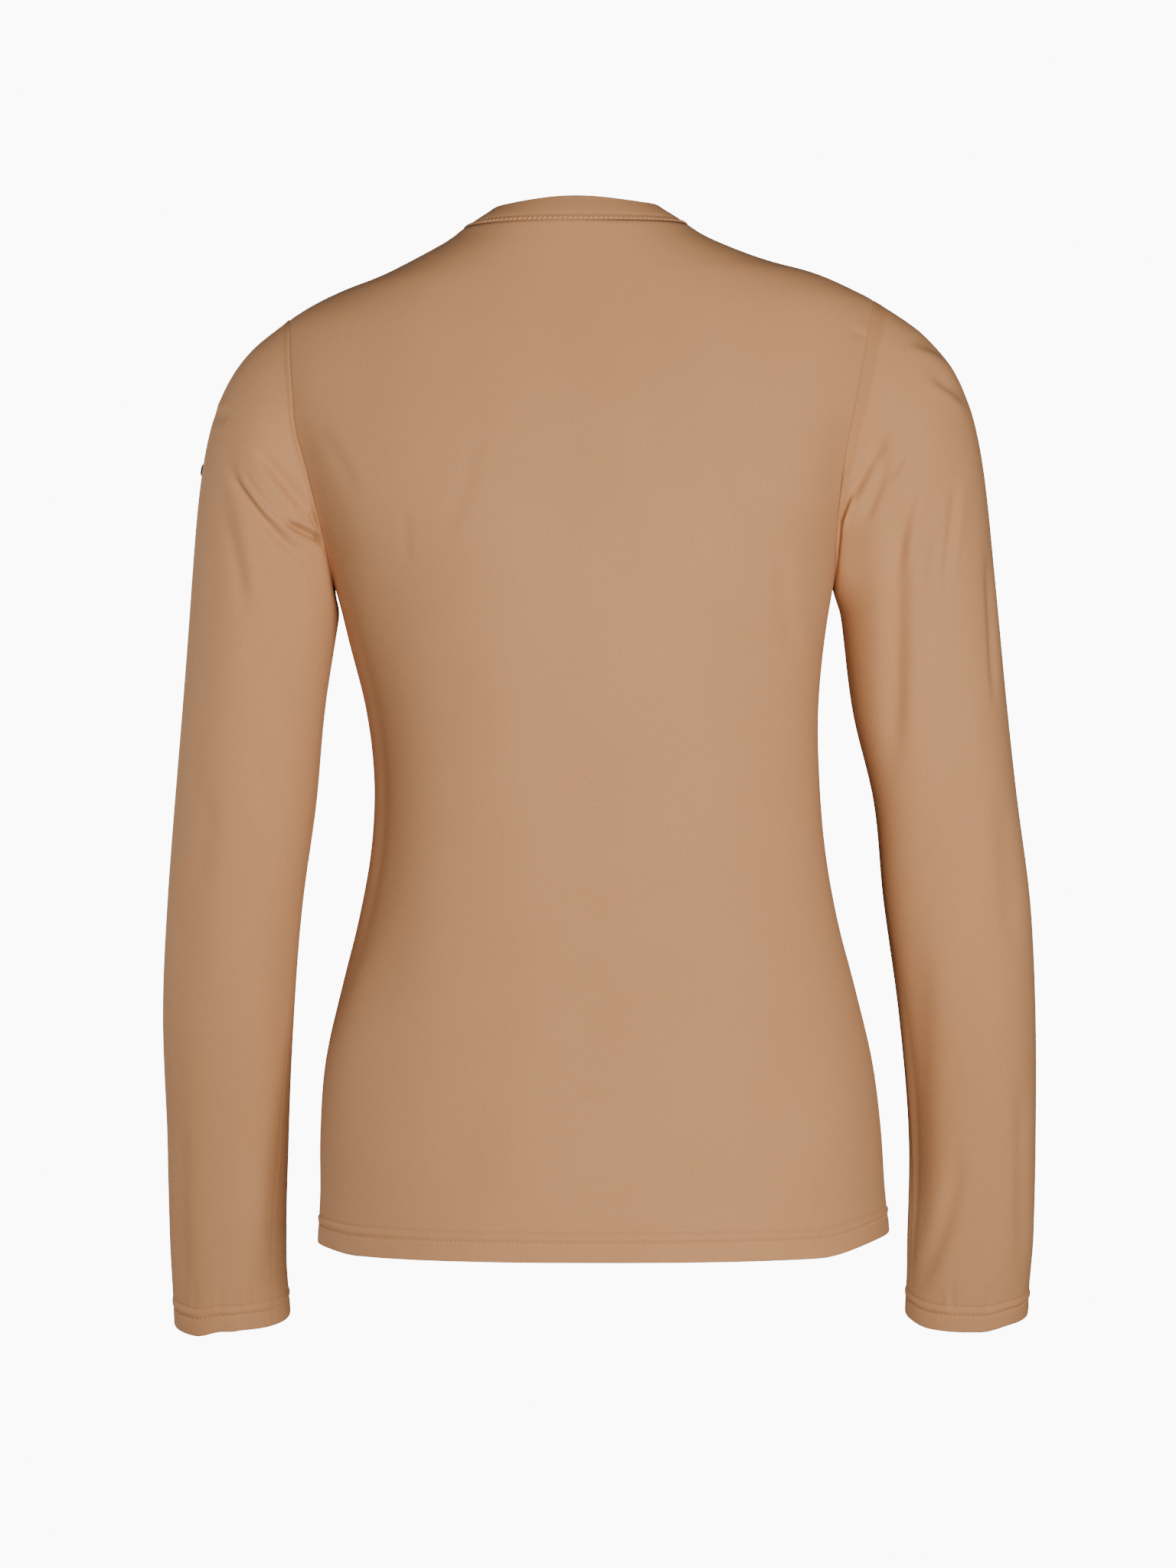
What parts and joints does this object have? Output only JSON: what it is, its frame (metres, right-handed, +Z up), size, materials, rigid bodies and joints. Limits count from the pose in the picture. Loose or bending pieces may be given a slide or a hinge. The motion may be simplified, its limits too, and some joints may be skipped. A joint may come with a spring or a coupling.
{
  "type": "long-sleeve t-shirt",
  "caption": "Fitted crew-neck jersey top with long set-in sleeves, a narrow folded neckband and turned hem and cuffs, filled out as if worn.",
  "frame": {"origin": "midway between the two points where the shoulder seams meet the neckband, which rests on the wearer's shoulders", "axes": "+Z up, the front faces -Y and the wearer's left is +X"},
  "size_m": [0.5309, 0.2356, 0.6822],
  "materials": {
    "jersey": "matte stretch jersey, smooth face",
    "tab": "satin dark tab, plain"
  },
  "bodies": {
    "root": {"back": "jersey", "front": "jersey", "sleeve_left": "jersey", "sleeve_right": "jersey", "neckband": "jersey", "sleeve_tab": "tab"}
  },
  "joints": []
}
